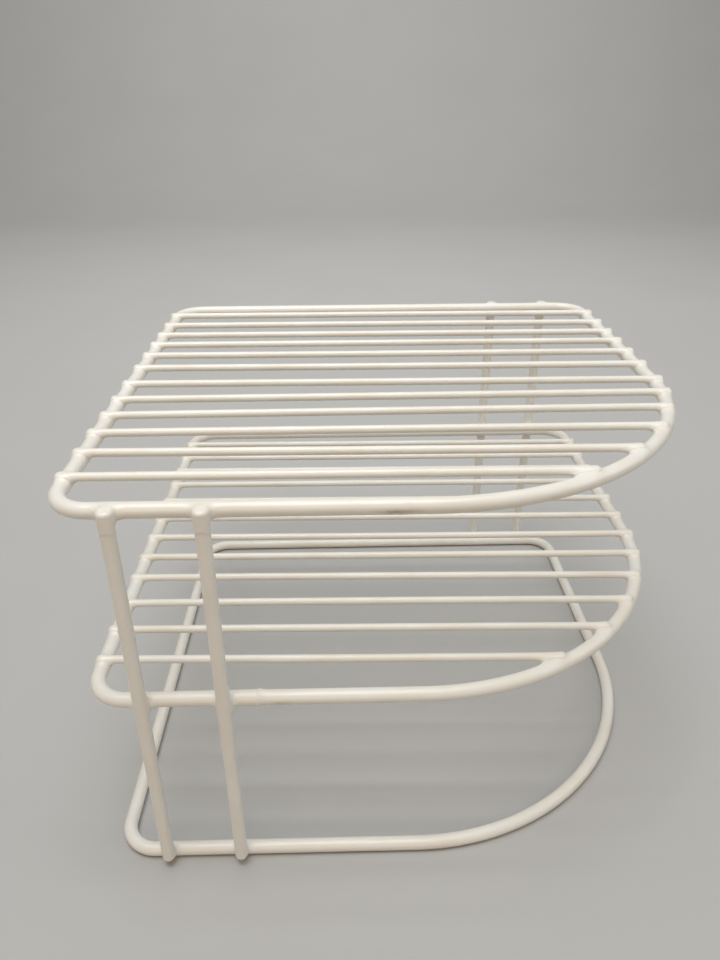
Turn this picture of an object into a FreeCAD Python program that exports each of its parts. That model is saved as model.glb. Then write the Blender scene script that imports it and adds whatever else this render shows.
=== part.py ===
import FreeCAD, Part
import math
import os

from FreeCAD import Vector

# A tiered shelf riser: two wire decks and an open base ring, one above the other, held by
# two pairs of straight legs. Every piece is round steel wire under one thick pale coat, and
# the pieces are resistance welded where they cross, so nothing on it moves.
#
# The row frame is in millimetres with +Z up. X runs along the front rail, and Y runs from
# the front rail to the back rail. The origin is the centre of the plan, on the surface that
# the base ring stands on. Each diameter is taken over the coat.

# Driving dimensions.
PLAN_SIZE = 254.0
FRAME_WIRE = 6.0
DECK_WIRE = 3.4
BIG_CORNER = 117.5
SMALL_CORNER = 14.3
MIDDLE_RISE = 88.9
TOP_RISE = 174.3
BUTT_WELD_FROM_LEFT = 65.0

LEG_INSET = 21.2
LEG_SPACING = 31.75
LEG_SET_OUT = 4.7
LEG_FOOT_ABOVE_RING = 1.2
LEG_HEAD_BELOW_CREST = 0.3

DECK_SET_UP = 2.8
FIRST_WIRE_FROM_BACK = 22.5
WIRE_PITCH = 18.8
LEFT_OVERHANG = 2.4

# How far the right-hand ends reach past the ring's centreline, from the rearmost wire to the
# front one. They stop sooner where the ring curves away.
RIGHT_OVERHANGS = (2.8, 2.8, 2.8, 2.8, 2.8, 2.8, 2.8, 2.4, 1.5, 0.8, -0.4, -1.0)

# The deck wires were laid by eye, so each has two small errors, given here from the rearmost
# wire to the front one. A drift is how far the wire's middle lies from even spacing, towards
# the back. A lean is how much further back its left end is than its right end.
TOP_DRIFT = (0.5, -0.7, -0.5, 1.3, 2.3, 1.8, -1.2, -0.2, 1.0, 0.9, 0.6, 0.3)
TOP_LEAN = (2.5, 2.5, 2.0, 1.5, 2.0, 2.5, 2.5, -1.0, -1.5, 0.5, 2.5, 1.0)
MIDDLE_DRIFT = (-0.1, -1.0, 0.0, 1.2, 0.2, -0.2, -0.5, 0.0, 0.7, 0.1, 0.2, 0.0)
MIDDLE_LEAN = (3.0, 3.0, 3.0, 3.0, 3.5, 3.5, 3.5, 3.5, 4.5, 3.5, 3.5, 3.5)

# Worked out from the driving dimensions.
FRAME_RADIUS = FRAME_WIRE / 2
DECK_RADIUS = DECK_WIRE / 2
RAIL = PLAN_SIZE / 2 - FRAME_RADIUS
RING_HEIGHTS = {
    "base": FRAME_RADIUS,
    "middle": FRAME_RADIUS + MIDDLE_RISE,
    "top": FRAME_RADIUS + TOP_RISE,
}
LEG_LINE = RAIL + LEG_SET_OUT
OUTER_LEG = RAIL - LEG_INSET
INNER_LEG = OUTER_LEG - LEG_SPACING

UP = Vector(0, 0, 1)
ALONG_X = Vector(1, 0, 0)


def round_bar(start, axis, length, radius):
    """A straight piece of wire with square-cut ends."""
    return Part.makeCylinder(radius, length, start, axis)


def ring_path(z):
    """The centreline of a ring, from its butt weld on the front rail all the way round."""
    corners = (
        (1, -1, BIG_CORNER),
        (1, 1, SMALL_CORNER),
        (-1, 1, SMALL_CORNER),
        (-1, -1, SMALL_CORNER),
    )
    weld = Vector(BUTT_WELD_FROM_LEFT - RAIL, -RAIL, z)
    edges = []
    here = weld
    for index, (side_x, side_y, radius) in enumerate(corners):
        centre = Vector(side_x * (RAIL - radius), side_y * (RAIL - radius), z)
        first_angle = math.radians(90 * index - 90)
        points = []
        for share in (0.0, 0.5, 1.0):
            angle = first_angle + share * math.pi / 2
            points.append(centre + Vector(math.cos(angle), math.sin(angle), 0) * radius)
        edges.append(Part.LineSegment(here, points[0]).toShape())
        edges.append(Part.Arc(*points).toShape())
        here = points[2]
    edges.append(Part.LineSegment(here, weld).toShape())
    return Part.Wire(edges)


def ring(z):
    """One frame wire bent into a ring: three tight corners and one wide, round one."""
    path = ring_path(z)
    start = Vector(BUTT_WELD_FROM_LEFT - RAIL, -RAIL, z)
    section = Part.Wire(Part.makeCircle(FRAME_RADIUS, start, ALONG_X))
    return path.makePipeShell([section], True, False)


def right_rail_x(y):
    """The x of a ring's centreline on its right-hand side, at a given y."""
    centre = RAIL - BIG_CORNER
    drop = -centre - y
    if drop <= 0:
        return RAIL
    return centre + math.sqrt(BIG_CORNER ** 2 - drop ** 2)


def deck_wire(y, lean, right_overhang, ring_z, rail_ring):
    """A deck wire lying on the two sides of its ring, seated where it is welded."""
    z = ring_z + DECK_SET_UP
    right_y = y - lean / 2
    left = Vector(-RAIL - LEFT_OVERHANG, y + lean / 2, z)
    right = Vector(right_rail_x(right_y) + right_overhang, right_y, z)
    bar = round_bar(left, right - left, (right - left).Length, DECK_RADIUS)
    return bar.cut(rail_ring)


def leg(x, side, rings):
    """A leg standing against the outside of all three rings, nearly as high as the top one."""
    foot = RING_HEIGHTS["base"] + LEG_FOOT_ABOVE_RING
    head = RING_HEIGHTS["top"] + FRAME_RADIUS - LEG_HEAD_BELOW_CREST
    bar = round_bar(Vector(x, side * LEG_LINE, foot), UP, head - foot, FRAME_RADIUS)
    for rail_ring in rings.values():
        bar = bar.cut(rail_ring)
    return bar


def build():
    """Every piece of the riser, by name."""
    rings = {tier: ring(z) for tier, z in RING_HEIGHTS.items()}
    pieces = {tier + "_ring": shape for tier, shape in rings.items()}

    pieces["front_leg_outer"] = leg(-OUTER_LEG, -1, rings)
    pieces["front_leg_inner"] = leg(-INNER_LEG, -1, rings)
    pieces["back_leg_inner"] = leg(INNER_LEG, 1, rings)
    pieces["back_leg_outer"] = leg(OUTER_LEG, 1, rings)

    for tier, drifts, leans in (
        ("top", TOP_DRIFT, TOP_LEAN),
        ("middle", MIDDLE_DRIFT, MIDDLE_LEAN),
    ):
        for index, (drift, lean) in enumerate(zip(drifts, leans)):
            y = RAIL - FIRST_WIRE_FROM_BACK - index * WIRE_PITCH + drift
            name = "%s_deck_wire_%02d" % (tier, index + 1)
            overhang = RIGHT_OVERHANGS[index]
            pieces[name] = deck_wire(y, lean, overhang, RING_HEIGHTS[tier], rings[tier])
    return pieces


def main():
    os.makedirs("parts", exist_ok=True)
    for name, shape in build().items():
        shape.exportStep("parts/%s.step" % name)


main()
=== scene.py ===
import math

import bpy
import numpy as np
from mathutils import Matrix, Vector


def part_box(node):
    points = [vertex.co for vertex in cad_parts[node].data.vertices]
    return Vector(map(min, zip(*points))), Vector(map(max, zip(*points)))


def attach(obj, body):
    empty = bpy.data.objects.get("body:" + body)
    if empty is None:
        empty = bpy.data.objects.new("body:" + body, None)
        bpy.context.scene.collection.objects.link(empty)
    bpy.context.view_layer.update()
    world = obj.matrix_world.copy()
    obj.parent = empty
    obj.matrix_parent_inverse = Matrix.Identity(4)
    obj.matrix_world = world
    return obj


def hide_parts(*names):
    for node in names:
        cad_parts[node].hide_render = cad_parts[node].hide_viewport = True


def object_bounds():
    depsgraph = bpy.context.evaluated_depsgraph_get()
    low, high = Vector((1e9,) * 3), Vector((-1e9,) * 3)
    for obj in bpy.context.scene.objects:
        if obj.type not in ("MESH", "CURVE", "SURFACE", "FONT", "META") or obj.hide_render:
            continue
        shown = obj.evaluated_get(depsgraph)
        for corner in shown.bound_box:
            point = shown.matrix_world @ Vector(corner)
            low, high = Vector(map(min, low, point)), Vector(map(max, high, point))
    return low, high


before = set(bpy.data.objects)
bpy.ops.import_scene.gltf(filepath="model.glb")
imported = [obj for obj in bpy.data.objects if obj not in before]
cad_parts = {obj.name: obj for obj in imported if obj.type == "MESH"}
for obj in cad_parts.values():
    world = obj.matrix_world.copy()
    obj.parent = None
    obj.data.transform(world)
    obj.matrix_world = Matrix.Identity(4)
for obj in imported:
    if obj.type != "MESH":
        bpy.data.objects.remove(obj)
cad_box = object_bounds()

# The looks of a wire shelf riser. Each of its wires is rebuilt as a fine closed mesh under one
# thick coat, which runs from wire to wire in a soft fillet wherever two of them are welded.
# Everything is in metres in the row frame, and the wires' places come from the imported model.

BODY = "root"
MM = 0.001

# Bend radii of a ring's centreline, which its box doesn't show.
BIG_CORNER = 117.5 * MM
SMALL_CORNER = 14.3 * MM

# The coat. A fillet's reach is how far apart two surfaces are where it starts.
LEG_FILLET = 6.0 * MM
DECK_FILLET = 5.0 * MM
LEG_END_ROUNDING = 1.3 * MM
DECK_END_ROUNDING = 1.65 * MM
COAT_RIPPLE = 0.03 * MM
# Coat gathers on the cut ends of the deck wires, so each one ends in a slight knob.
KNOB_SWELL = 0.5 * MM
KNOB_LENGTH = 2.4 * MM

# The smooth unevenness of the coat: a sum of waves between these lengths, in millimetres.
RIPPLE_WAVES = 10
RIPPLE_LENGTHS = (7, 26)
RIPPLE_SEED = 7
# How far a deck wire may bow sideways at mid-span.
WIRE_BOW = 0.35 * MM
WIRE_BOW_SEED = 11

# How finely a wire is divided along its length, near a detail and far from one.
FINE_STEP = 0.32 * MM
COARSE_STEP = 1.5 * MM
FINE_WITHIN = 1.5 * MM
COARSE_BEYOND = 12.0 * MM
# How closely a centreline is sampled before it is divided.
SAMPLE_STEP = 0.1 * MM
FRAME_SIDES = 48
DECK_SIDES = 32
CAP_ROWS = 7
# How often the search for the coat's surface halves its range.
HALVINGS = 18
# How near the end of a straight piece a point of its end face lies.
END_FACE = 0.1 * MM

# Where the ends of each ring's wire meet, as x on the front rail or on the back one.
BUTT_WELDS = {
    "base_ring": (30 * MM, 1),
    "middle_ring": (-58 * MM, -1),
    "top_ring": (-3 * MM, -1),
}
# How proud the coat stands at each of those joins, in millimetres.
BUTT_WELD_HEIGHT = {"base_ring": 0.2, "middle_ring": 0.42, "top_ring": 0.12}

# A drip that set on the outside of the middle ring's front left corner.
DRIP_ANGLE = math.radians(204)
DRIP_BELOW_CENTRE = 0.6 * MM
DRIP_HEIGHT = 0.75 * MM
DRIP_SPREAD_MM = 0.65

# Painted shade in the crease at a weld: how wide the line is, how much there is at a leg and at a
# deck wire, and how much more there is within a short way of the wire's tip.
CREASE_SHADE_WIDTH = 0.55 * MM
LEG_CREASE_SHADE = 0.45
WIRE_CREASE_SHADE = 0.22
EXTRA_TIP_CREASE_SHADE = 0.78
TIP_CREASE_SHADE_LENGTH = 2.0 * MM

# Rust stains on the front rails: x and spread in millimetres, and strength.
STAINS = {"top_ring": (-5.0, 6.0, 1.0), "middle_ring": (-49.0, 4.0, 0.45)}
# They lie where a rail's surface has turned a little downwards.
STAIN_TURN = -0.2
STAIN_TURN_SPREAD = 0.28


# ---------------------------------------------------------------- shapes of the wires

def smooth_union(a, b, reach):
    """The distance to two shapes joined by a fillet that starts where they are reach apart."""
    near = np.maximum(reach - np.abs(a - b), 0.0) / reach
    return np.minimum(a, b) - near ** 3 * reach / 6


class Ring:
    """A wire bent into a rounded square with one wide corner."""

    def __init__(self, node):
        low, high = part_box(node)
        self.node = node
        self.radius = (high.z - low.z) / 2
        self.height = (high.z + low.z) / 2
        self.half = (high.x - low.x) / 2 - self.radius
        self.sides = FRAME_SIDES

    def distance(self, points):
        """Signed distance from each point to the wire's surface."""
        x, y = points[:, 0], points[:, 1]
        corner = np.where((x > 0) & (y < 0), BIG_CORNER, SMALL_CORNER)
        qx = np.abs(x) - self.half + corner
        qy = np.abs(y) - self.half + corner
        outside = np.hypot(np.maximum(qx, 0), np.maximum(qy, 0))
        plan = np.minimum(np.maximum(qx, qy), 0) + outside - corner
        return np.hypot(plan, points[:, 2] - self.height) - self.radius

    def butt_weld(self):
        """Where the ends of the ring's wire meet, on its centreline."""
        x, side = BUTT_WELDS[self.node]
        return np.array([x, side * self.half, self.height])

    def drip(self):
        """The outside of the front left corner, a little behind its middle."""
        reach = self.half - SMALL_CORNER
        out = SMALL_CORNER + self.radius
        x = out * math.cos(DRIP_ANGLE) - reach
        y = out * math.sin(DRIP_ANGLE) - reach
        return np.array([x, y, self.height - DRIP_BELOW_CENTRE])

    def details(self):
        """The places on the ring, besides its welds, that need a fine mesh."""
        return [self.butt_weld(), self.drip()]

    def centreline(self, step):
        """Points round the ring with their outward directions and distances along it."""
        corners = (
            (1, -1, BIG_CORNER),
            (1, 1, SMALL_CORNER),
            (-1, 1, SMALL_CORNER),
            (-1, -1, SMALL_CORNER),
        )
        places, outwards = [], []
        for index, (side_x, side_y, corner) in enumerate(corners):
            centre = np.array([side_x, side_y]) * (self.half - corner)
            count = max(3, int(corner * math.pi / 2 / step))
            angles = np.linspace(-math.pi / 2, 0, count) + index * math.pi / 2
            out = np.c_[np.cos(angles), np.sin(angles)]
            arc = centre + out * corner
            if places:
                places, outwards = self._straight(places, outwards, arc[0], step)
            places = places + [arc]
            outwards = outwards + [out]
        places, outwards = self._straight(places, outwards, places[0][0], step)
        place, out = np.vstack(places), np.vstack(outwards)
        closed = np.vstack([place, place[:1]])
        along = np.r_[0, np.cumsum(np.hypot(*np.diff(closed, axis=0).T))]
        keep = np.r_[True, np.diff(along[:-1]) > step / 100]
        level = np.full(keep.sum(), self.height)
        return np.c_[place[keep], level], np.c_[out[keep], 0 * level], along[:-1][keep]

    @staticmethod
    def _straight(places, outwards, end, step):
        """Adds the straight run from the last point to end."""
        start = places[-1][-1]
        count = int(np.hypot(*(end - start)) / step) + 2
        share = np.linspace(0, 1, count)[1:-1, None]
        run = start + (end - start) * share
        out = np.repeat(outwards[-1][-1:], len(run), axis=0)
        return places + [run], outwards + [out]


def end_centre(node, axis, side):
    """The centre of a straight piece's end face, on the low side (-1) or the high side (1)."""
    points = np.array([vertex.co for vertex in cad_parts[node].data.vertices])
    reach = points[:, axis] * side
    face = points[reach > reach.max() - END_FACE]
    return (face.min(axis=0) + face.max(axis=0)) / 2


class Bar:
    """A straight wire with rounded ends: a level deck wire (axis 0) or a leg (axis 2)."""

    def __init__(self, node, axis, rounding, sides, bow=0.0):
        low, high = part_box(node)
        self.node = node
        self.axis = axis
        self.sides = sides
        self.rounding = rounding
        self.bow = bow
        ends = [end_centre(node, axis, -1), end_centre(node, axis, 1)]
        self.radius = (high.y - low.y - abs(ends[1][1] - ends[0][1])) / 2
        if axis == 0:
            ends[0][2] = ends[1][2] = high.z - self.radius
        self.middle = (ends[0] + ends[1]) / 2
        self.half = np.linalg.norm(ends[1] - ends[0]) / 2
        self.direction = (ends[1] - ends[0]) / (2 * self.half)
        # Two directions square to the wire: first is level, and second is upright in a deck wire.
        first, self.second = np.delete(np.eye(3), axis, axis=0)
        first = first - (first @ self.direction) * self.direction
        self.first = first / np.linalg.norm(first)

    def station(self, points):
        """How far along the bar each point lies from its middle."""
        return (points - self.middle) @ self.direction

    def details(self):
        """A bar has no place besides its welds that needs a fine mesh."""
        return []

    def distance(self, points):
        """Signed distance from each point to the bar's surface."""
        off = points - self.middle
        along = np.abs(self.station(points)) - (self.half - self.rounding)
        around = np.hypot(off @ self.first, off @ self.second) - (self.radius - self.rounding)
        outside = np.hypot(np.maximum(along, 0), np.maximum(around, 0))
        return np.minimum(np.maximum(along, around), 0) + outside - self.rounding

    def profile(self, stations):
        """The bar's outline from end to end: place along it, radius, and the normal's two parts."""
        flat = self.radius - self.rounding
        turn = np.linspace(0, math.pi / 2, CAP_ROWS)
        cap_along = np.r_[-self.half, -self.half + self.rounding * (1 - np.cos(turn))]
        cap_radius = np.r_[flat / 2, flat + self.rounding * np.sin(turn)]
        cap_normal = np.c_[np.r_[-1, -np.cos(turn)], np.r_[0, np.sin(turn)]]
        # The straight part's rows start a little past the rounding, clear of its last row.
        clear_of_cap = self.half - self.rounding * 1.2
        inner = stations[np.abs(stations) < clear_of_cap]
        side_normal = np.tile([0.0, 1.0], (len(inner), 1))
        along = np.r_[cap_along, inner, -cap_along[::-1]]
        radius = np.r_[cap_radius, np.full(len(inner), self.radius), cap_radius[::-1]]
        far_normal = cap_normal[::-1] * [-1, 1]
        return along, radius, np.vstack([cap_normal, side_normal, far_normal])


def ripple(points):
    """A smooth unevenness of the coat, from 0 to 1, the same for every piece."""
    rng = np.random.RandomState(RIPPLE_SEED)
    total = np.zeros(len(points))
    for _ in range(RIPPLE_WAVES):
        length = rng.uniform(*RIPPLE_LENGTHS) * MM
        direction = rng.normal(size=3)
        direction /= np.linalg.norm(direction)
        phase = rng.uniform(0, 2 * math.pi)
        total += np.sin(points @ direction * (2 * math.pi / length) + phase)
    return np.clip(0.5 + total / RIPPLE_WAVES, 0, 1)


def butt_weld_bulge(ring, points, normals):
    """How far the coat stands out over the upset metal where a ring's ends were joined."""
    x, y, _ = ring.butt_weld()
    # Full on the rail that has the join, and none from three quarters of the way out inwards.
    on_rail = np.clip(4 * points[:, 1] / y - 3, 0, 1)
    above = (points[:, 2] - ring.height) / MM
    # The join slants a little. A narrow ridge has a long, low shoulder and a fine groove in it.
    slant = 0.25
    off = (points[:, 0] - x) / MM - slant * above
    ridge = np.exp(-(off / 1.3) ** 2) + 0.3 * np.exp(-((off + 4.0) / 4.5) ** 2)
    groove = 0.45 * np.exp(-((off - 0.5) / 0.45) ** 2)
    height = BUTT_WELD_HEIGHT[ring.node] * MM * (ridge - groove) * on_rail
    if ring.node == "base_ring":
        # None of it hangs under the base ring, which stands on its lowest line.
        height = height * (1 + np.minimum(normals[:, 2], 0))
    return height


def coat_drip(ring, points):
    """How far the drip stands out. Only the middle ring has it."""
    if ring.node != "middle_ring":
        return np.zeros(len(points))
    gap = np.linalg.norm(points - ring.drip(), axis=1) / MM
    return DRIP_HEIGHT * np.exp(-(gap / DRIP_SPREAD_MM) ** 2)


def weld_crease_shade(own, other, points, gap):
    """How much painted shade lies in the crease at a weld, from 0 to 1. Most is round a deck wire's
    tip.
    """
    wires = [shape for shape in (own, other) if isinstance(shape, Bar) and shape.axis == 0]
    narrow = np.exp(-(gap / CREASE_SHADE_WIDTH) ** 2)
    if not wires:
        return LEG_CREASE_SHADE * narrow
    from_tip = np.abs(np.abs(wires[0].station(points)) - wires[0].half)
    at_tip = np.exp(-(from_tip / TIP_CREASE_SHADE_LENGTH) ** 2)
    return narrow * (WIRE_CREASE_SHADE + EXTRA_TIP_CREASE_SHADE * at_tip)


def stain(own, points, normals):
    """Brown marks where a little rust shows through, on the underside of two front rails."""
    if own.node not in STAINS:
        return np.zeros(len(points))
    turned = (normals[:, 2] - STAIN_TURN) / STAIN_TURN_SPREAD
    below = np.exp(-turned ** 2) * (normals[:, 1] < 0)
    front = points[:, 1] < -0.9 * own.half
    x, spread, strength = STAINS[own.node]
    off = (points[:, 0] / MM - x) / spread
    return strength * np.exp(-off ** 2) * below * front


def settle_coat(own, points, normals, neighbours):
    """Moves each surface point out to the coat's fillets. Points under a neighbour stay hidden."""
    travel = np.zeros(len(points))
    crease = np.zeros(len(points))
    for other, reach in neighbours:
        gap = other.distance(points)
        crease = np.maximum(crease, weld_crease_shade(own, other, points, gap))
        near = np.where(gap < reach)[0]
        if not len(near):
            continue
        start, out = points[near], normals[near]
        # A fillet never stands out further than a sixth of its reach.
        inner, outer = np.zeros(len(near)), np.full(len(near), reach / 6)
        for _ in range(HALVINGS):
            middle = (inner + outer) / 2
            here = start + out * middle[:, None]
            buried = smooth_union(own.distance(here), other.distance(here), reach) < 0
            inner = np.where(buried, middle, inner)
            outer = np.where(buried, outer, middle)
        travel[near] = np.maximum(travel[near], inner)
    return points + normals * travel[:, None], crease


def rows_passed(own, centres, along, neighbours):
    """How many rows of the mesh fit before each point of a centreline, most near its details."""
    gap = np.full(len(centres), 1.0)
    for other, _ in neighbours:
        gap = np.minimum(gap, other.distance(centres) - own.radius)
    for detail in own.details():
        gap = np.minimum(gap, np.linalg.norm(centres - detail, axis=1) - 2 * own.radius)
    share = np.clip((gap - FINE_WITHIN) / (COARSE_BEYOND - FINE_WITHIN), 0, 1)
    step = FINE_STEP + (COARSE_STEP - FINE_STEP) * share
    return np.r_[0, np.cumsum(np.diff(along) / ((step[1:] + step[:-1]) / 2))]


def mesh_object(name, points, faces, marks):
    """A smooth-shaded mesh that carries a value at each point for each kind of mark."""
    mesh = bpy.data.meshes.new(name)
    mesh.from_pydata(points.tolist(), [], faces)
    mesh.polygons.foreach_set("use_smooth", [True] * len(mesh.polygons))
    for kind, values in marks.items():
        mesh.attributes.new(kind, "FLOAT", "POINT").data.foreach_set("value", values)
    mesh.update()
    piece = bpy.data.objects.new(name, mesh)
    bpy.context.scene.collection.objects.link(piece)
    return piece


def loft(count, sides, closed):
    """Quads between rings of points, each ring sides long."""
    rows = np.arange(count if closed else count - 1)
    a = (rows[:, None] * sides + np.arange(sides)).ravel()
    b = (rows[:, None] * sides + (np.arange(sides) + 1) % sides).ravel()
    size = count * sides
    return np.c_[a, b, (b + sides) % size, (a + sides) % size].tolist()


def coat_surface(own, points, normals, neighbours):
    """The coat over a bare wire, no larger than the part: fillets, unevenness, painted crease shade
    and stain marks.
    """
    coated, crease = settle_coat(own, points, normals, neighbours)
    marks = {"weld_crease_shade": crease, "stain": stain(own, points, normals)}
    coated = coated - normals * (ripple(coated) * COAT_RIPPLE)[:, None]
    low, high = (np.array(corner) for corner in cad_box)
    return np.clip(coated, low, high), marks


def build_ring(own, neighbours):
    """A ring's coated wire as one closed tube."""
    centres, outwards, along = own.centreline(SAMPLE_STEP)
    count_to = rows_passed(own, centres, along, neighbours)
    count = int(count_to[-1])
    wanted = np.interp(np.arange(count) * count_to[-1] / count, count_to, along)
    centre = np.c_[[np.interp(wanted, along, centres[:, k]) for k in range(3)]].T
    out = np.c_[[np.interp(wanted, along, outwards[:, k]) for k in range(3)]].T
    out /= np.linalg.norm(out, axis=1)[:, None]
    turn = np.arange(own.sides) * 2 * math.pi / own.sides
    up = np.array([0.0, 0.0, 1.0])
    normals = out[:, None, :] * np.cos(turn)[:, None] + up * np.sin(turn)[:, None]
    normals = normals.reshape(-1, 3)
    bare = np.repeat(centre, own.sides, axis=0) + normals * own.radius
    lumps = butt_weld_bulge(own, bare, normals) + coat_drip(own, bare)
    points, marks = coat_surface(own, bare + normals * lumps[:, None], normals, neighbours)
    faces = loft(count, own.sides, True)
    return mesh_object(own.node + "_coated", points, faces, marks)


def knob_swell(own, points, normals):
    """The extra coat round a deck wire's ends, which adds nothing to its height or length."""
    from_tip = own.half - np.abs(own.station(points))
    along_share = np.exp(-(from_tip / KNOB_LENGTH) ** 4)
    return KNOB_SWELL * along_share * (1 - np.maximum(normals[:, 2], 0)) * (1 - normals[:, 0] ** 2)


def build_bar(own, neighbours):
    """A straight coated wire with closed, rounded ends."""
    along = np.linspace(-own.half, own.half, int(2 * own.half / SAMPLE_STEP))
    axis = own.direction
    centres = own.middle + along[:, None] * axis
    count_to = rows_passed(own, centres, along, neighbours)
    count = int(count_to[-1])
    stations = np.interp(np.linspace(0, count_to[-1], count), count_to, along)
    place, radius, normal = own.profile(stations)
    turn = np.arange(own.sides) * 2 * math.pi / own.sides
    spoke = own.first * np.cos(turn)[:, None] + own.second * np.sin(turn)[:, None]
    arch = np.sin(math.pi * (place / own.half + 1) / 2)
    spine = own.middle + place[:, None] * axis
    spine = spine + arch[:, None] * (own.first * own.bow)
    points = spine[:, None, :] + radius[:, None, None] * spoke
    normals = normal[:, :1, None] * axis + normal[:, 1:, None] * spoke
    points, normals = points.reshape(-1, 3), normals.reshape(-1, 3)
    tips = np.array([own.middle - axis * own.half, own.middle + axis * own.half])
    points = np.vstack([points, tips])
    normals = np.vstack([normals, [-axis, axis]])
    if own.axis == 0:
        points = points + normals * knob_swell(own, points, normals)[:, None]
    points, marks = coat_surface(own, points, normals, neighbours)
    sides, rows = own.sides, len(place)
    faces = loft(rows, sides, False)
    first_tip, last_tip = rows * sides, rows * sides + 1
    last_row = (rows - 1) * sides
    for k in range(sides):
        following = (k + 1) % sides
        faces.append([first_tip, following, k])
        faces.append([last_tip, last_row + k, last_row + following])
    return mesh_object(own.node + "_coated", points, faces, marks)


# ---------------------------------------------------------------- material of the coat

def coat_material(name, scale):
    """A thick, warm white polymer coat with a satin gloss, a little aged, with painted shade on its
    undersides and in its weld creases.
    """
    material = bpy.data.materials.new(name)
    material.use_nodes = True
    nodes, links = material.node_tree.nodes, material.node_tree.links
    nodes.clear()

    def add(kind, **settings):
        node = nodes.new(kind)
        for key, value in settings.items():
            if key in node.inputs:
                node.inputs[key].default_value = value
            else:
                setattr(node, key, value)
        return node

    output = add("ShaderNodeOutputMaterial")
    shader = add("ShaderNodeBsdfPrincipled")
    links.new(shader.outputs["BSDF"], output.inputs["Surface"])
    place = add("ShaderNodeTexCoord").outputs["Object"]

    def noise(size_mm, detail, roughness=0.5):
        node = add("ShaderNodeTexNoise", Scale=1 / (size_mm * MM), Detail=detail)
        node.inputs["Roughness"].default_value = roughness
        links.new(place, node.inputs["Vector"])
        return node.outputs["Fac"]

    def remap(value, low, high, to_low, to_high):
        node = add("ShaderNodeMapRange")
        node.inputs["From Min"].default_value = low
        node.inputs["From Max"].default_value = high
        node.inputs["To Min"].default_value = to_low
        node.inputs["To Max"].default_value = to_high
        links.new(value, node.inputs["Value"])
        return node.outputs["Result"]

    def mix(factor, first, second):
        node = add("ShaderNodeMix", data_type="RGBA")
        links.new(factor, node.inputs["Factor"])
        for socket, value in ((node.inputs[6], first), (node.inputs[7], second)):
            if isinstance(value, tuple):
                socket.default_value = value
            else:
                links.new(value, socket)
        return node.outputs[2]

    def multiply(first, second):
        node = add("ShaderNodeMath", operation="MULTIPLY")
        links.new(first, node.inputs[0])
        links.new(second, node.inputs[1])
        return node.outputs[0]

    # Noise sizes are in millimetres, and remap's numbers run from a noise value to a share.
    fresh = (0.85, 0.84, 0.795, 1)
    yellowed = (0.81, 0.775, 0.70, 1)
    # Painted shade for surfaces that face down.
    painted_underside_shade = (0.70, 0.635, 0.515, 1)
    # Painted shade for the creases at the welds.
    painted_crease_shade = (0.36, 0.27, 0.17, 1)
    rust = (0.31, 0.21, 0.10, 1)
    speck = (0.45, 0.38, 0.28, 1)

    # The coat has yellowed in broad clouds.
    cloudy = remap(noise(34 * scale, 3), 0.35, 0.68, 0, 1)
    colour = mix(cloudy, fresh, yellowed)

    # Painted shade: surfaces that face down are mixed towards a darker, browner colour.
    facing = add("ShaderNodeSeparateXYZ")
    geometry = add("ShaderNodeNewGeometry")
    links.new(geometry.outputs["Normal"], facing.inputs["Vector"])
    underside_shade = remap(facing.outputs["Z"], 0.05, -0.9, 0, 0.8)
    colour = mix(underside_shade, colour, painted_underside_shade)

    # Painted shade: broken dark lines lie in the creases at the welds.
    crease = add("ShaderNodeAttribute", attribute_name="weld_crease_shade").outputs["Fac"]
    broken = remap(noise(2.2, 4, 0.65), 0.38, 0.64, 0.14, 0.74)
    colour = mix(multiply(crease, broken), colour, painted_crease_shade)

    # Rust shows through as blotches.
    marks = add("ShaderNodeAttribute", attribute_name="stain").outputs["Fac"]
    blotchy = remap(noise(4.0, 4, 0.6), 0.32, 0.66, 0.4, 0.9)
    colour = mix(multiply(marks, blotchy), colour, rust)

    # A few fine specks gather in patches.
    specks = remap(noise(1.1, 2), 0.74, 0.80, 0, 0.5)
    patches = remap(noise(21, 2), 0.50, 0.66, 0, 1)
    colour = mix(multiply(specks, patches), colour, speck)
    links.new(colour, shader.inputs["Base Color"])

    gloss = remap(noise(9, 4, 0.6), 0.3, 0.7, 0.30, 0.42)
    links.new(gloss, shader.inputs["Roughness"])
    shader.inputs["IOR"].default_value = 1.5
    shader.inputs["Coat Weight"].default_value = 0.25
    shader.inputs["Coat Roughness"].default_value = 0.16
    shader.inputs["Subsurface Weight"].default_value = 0.12
    shader.inputs["Subsurface Radius"].default_value = (1.0, 0.7, 0.45)
    shader.inputs["Subsurface Scale"].default_value = 0.8 * MM

    # A faint orange peel over slow waves.
    peel = add("ShaderNodeBump", Strength=0.10, Distance=0.10 * MM)
    links.new(noise(1.3 * scale, 2), peel.inputs["Height"])
    waves = add("ShaderNodeBump", Strength=0.07, Distance=0.2 * MM)
    links.new(noise(5.5 * scale, 2), waves.inputs["Height"])
    links.new(peel.outputs["Normal"], waves.inputs["Normal"])
    links.new(waves.outputs["Normal"], shader.inputs["Normal"])
    return material


# ---------------------------------------------------------------- the pieces

def dress(piece, node, material):
    """Puts a finished piece on its body in place of its CAD node."""
    piece.data.materials.append(material)
    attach(piece, BODY)
    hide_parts(node)


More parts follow.
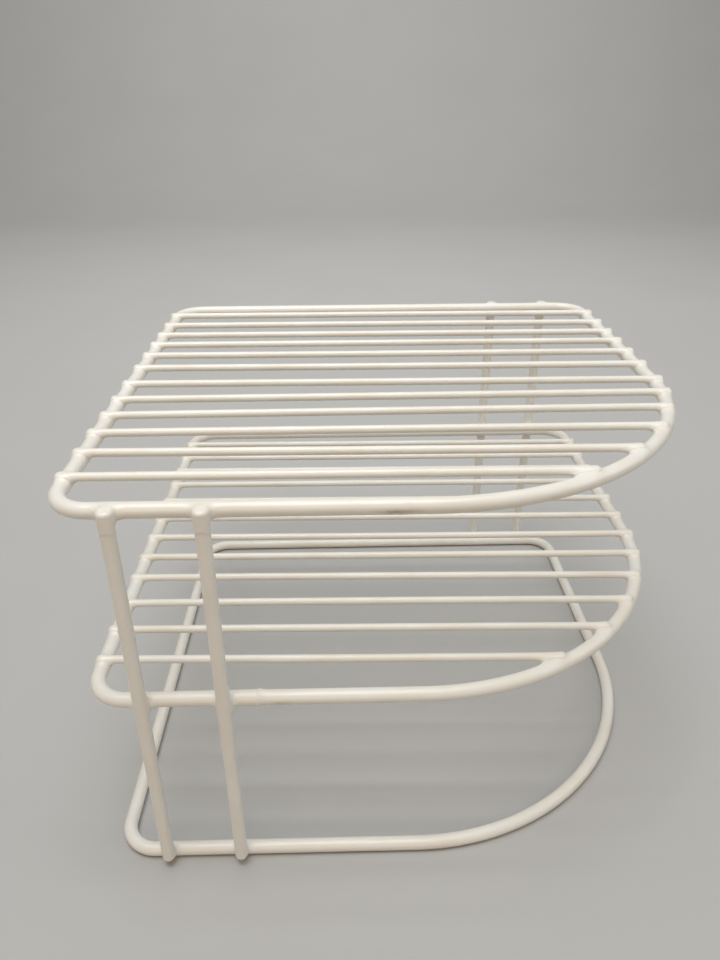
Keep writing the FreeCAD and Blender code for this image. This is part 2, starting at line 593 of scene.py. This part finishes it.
def build_riser():
    """All the coated wires of the riser."""
    frame_coat = coat_material("frame_wire_coat", 1.0)
    deck_coat = coat_material("deck_wire_coat", 0.8)

    rings = {tier: Ring(tier + "_ring") for tier in ("base", "middle", "top")}
    legs = []
    for end in ("front", "back"):
        for place in ("outer", "inner"):
            node = "%s_leg_%s" % (end, place)
            legs.append(Bar(node, 2, LEG_END_ROUNDING, FRAME_SIDES))
    decks = {"base": [], "middle": [], "top": []}
    rng = np.random.RandomState(WIRE_BOW_SEED)
    for tier in ("middle", "top"):
        nodes = sorted(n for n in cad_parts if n.startswith(tier + "_deck_wire"))
        for node in nodes:
            bow = rng.uniform(-WIRE_BOW, WIRE_BOW)
            decks[tier].append(Bar(node, 0, DECK_END_ROUNDING, DECK_SIDES, bow))

    leg_welds = [(leg, LEG_FILLET) for leg in legs]
    for tier, ring in rings.items():
        welds = leg_welds + [(wire, DECK_FILLET) for wire in decks[tier]]
        dress(build_ring(ring, welds), ring.node, frame_coat)
        for wire in decks[tier]:
            piece = build_bar(wire, [(ring, DECK_FILLET)])
            dress(piece, wire.node, deck_coat)
    ring_welds = [(ring, LEG_FILLET) for ring in rings.values()]
    for leg in legs:
        dress(build_bar(leg, ring_welds), leg.node, frame_coat)


# ---------------------------------------------------------------- studio

def floor_material():
    """A plain pale board with a faint, soft unevenness."""
    material = bpy.data.materials.new("studio_floor")
    material.use_nodes = True
    nodes, links = material.node_tree.nodes, material.node_tree.links
    shader = nodes["Principled BSDF"]
    shader.inputs["Roughness"].default_value = 0.75
    noise = nodes.new("ShaderNodeTexNoise")
    noise.inputs["Scale"].default_value = 6
    ramp = nodes.new("ShaderNodeValToRGB")
    ramp.color_ramp.elements[0].color = (0.46, 0.46, 0.455, 1)
    ramp.color_ramp.elements[1].color = (0.49, 0.49, 0.485, 1)
    links.new(nodes.new("ShaderNodeTexCoord").outputs["Object"], noise.inputs["Vector"])
    links.new(noise.outputs["Fac"], ramp.inputs["Fac"])
    links.new(ramp.outputs["Color"], shader.inputs["Base Color"])
    return material


def build_floor():
    """A wide floor that curves up into a backdrop behind the object."""
    half_width, front, back, sweep, height = 3.0, -2.0, 1.6, 0.9, 2.6
    steps = 12
    outline = [(front, 0.0)]
    for step in range(steps + 1):
        angle = math.radians(90 * step / steps)
        outline.append((back + sweep * math.sin(angle), sweep * (1 - math.cos(angle))))
    outline.append((back + sweep, height))
    points = [(x, y, z) for y, z in outline for x in (-half_width, half_width)]
    faces = [(2 * k, 2 * k + 1, 2 * k + 3, 2 * k + 2) for k in range(len(outline) - 1)]
    mesh = bpy.data.meshes.new("floor")
    mesh.from_pydata(points, [], faces)
    mesh.polygons.foreach_set("use_smooth", [True] * len(mesh.polygons))
    floor = bpy.data.objects.new("floor", mesh)
    bpy.context.scene.collection.objects.link(floor)
    mesh.materials.append(floor_material())


def soft_light(name, at, target, size, power, colour):
    """A large square lamp that faces a target."""
    light = bpy.data.lights.new(name, "AREA")
    light.size = size
    light.energy = power
    light.color = colour
    lamp = bpy.data.objects.new(name, light)
    bpy.context.scene.collection.objects.link(lamp)
    lamp.location = at
    lamp.rotation_euler = (target - lamp.location).to_track_quat("-Z", "Y").to_euler()


def build_lights():
    """An overhead softbox, weaker lamps in front, beside and for the backdrop, and a surround."""
    low, high = cad_box
    middle = (low + high) / 2
    backdrop = middle + Vector((0, 2.2, 0.8))
    soft_light("overhead", (-0.15, -0.20, 1.35), middle, 0.9, 12.5, (0.985, 1.0, 1.0))
    soft_light("front", (-0.5, -1.7, 0.75), middle, 1.2, 6, (1.0, 0.70, 0.42))
    soft_light("right", (1.4, -0.3, 0.9), middle, 0.9, 4, (1.0, 0.95, 0.88))
    soft_light("behind", (0, 0.7, 1.7), backdrop, 1.2, 22, (1.0, 1.0, 1.0))
    world = bpy.data.worlds.new("surround")
    world.use_nodes = True
    background = world.node_tree.nodes["Background"]
    background.inputs["Color"].default_value = (0.90, 0.87, 0.83, 1)
    background.inputs["Strength"].default_value = 0.26
    bpy.context.scene.world = world


def build_camera():
    """A phone's wide lens, close in, in front of the unit and above it."""
    camera = bpy.data.cameras.new("camera")
    camera.lens = 28.13
    camera.sensor_width = 36
    camera.clip_start = 0.01
    holder = bpy.data.objects.new("camera", camera)
    bpy.context.scene.collection.objects.link(holder)
    holder.location = (-0.0222, -0.3440, 0.3045)
    holder.rotation_euler = [math.radians(angle) for angle in (61.99, 0.31, -1.26)]
    bpy.context.scene.camera = holder


build_riser()
build_floor()
build_lights()
build_camera()
bpy.context.scene.view_settings.view_transform = "Standard"
